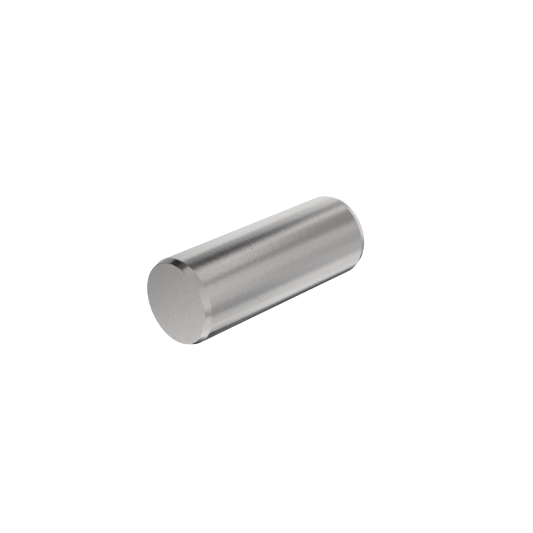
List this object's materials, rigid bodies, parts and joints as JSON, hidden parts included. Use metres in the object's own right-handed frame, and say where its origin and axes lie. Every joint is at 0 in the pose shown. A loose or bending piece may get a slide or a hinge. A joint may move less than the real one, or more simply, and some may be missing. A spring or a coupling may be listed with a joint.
{
  "type": "dowel pin",
  "caption": "Solid straight pin with a lead-in chamfer at both ends, pressed into reamed holes to locate one part on another.",
  "frame": {"origin": "centre of the lower end face, on which the pin stands", "axes": "+Z along the pin's axis, from the lower end face to the upper one"},
  "size_m": [0.006, 0.006, 0.016],
  "materials": {
    "ground_steel": "centreless ground shank, turned chamfers and plain faced ends"
  },
  "bodies": {
    "root": {"dowel_pin": "ground_steel"}
  },
  "joints": []
}
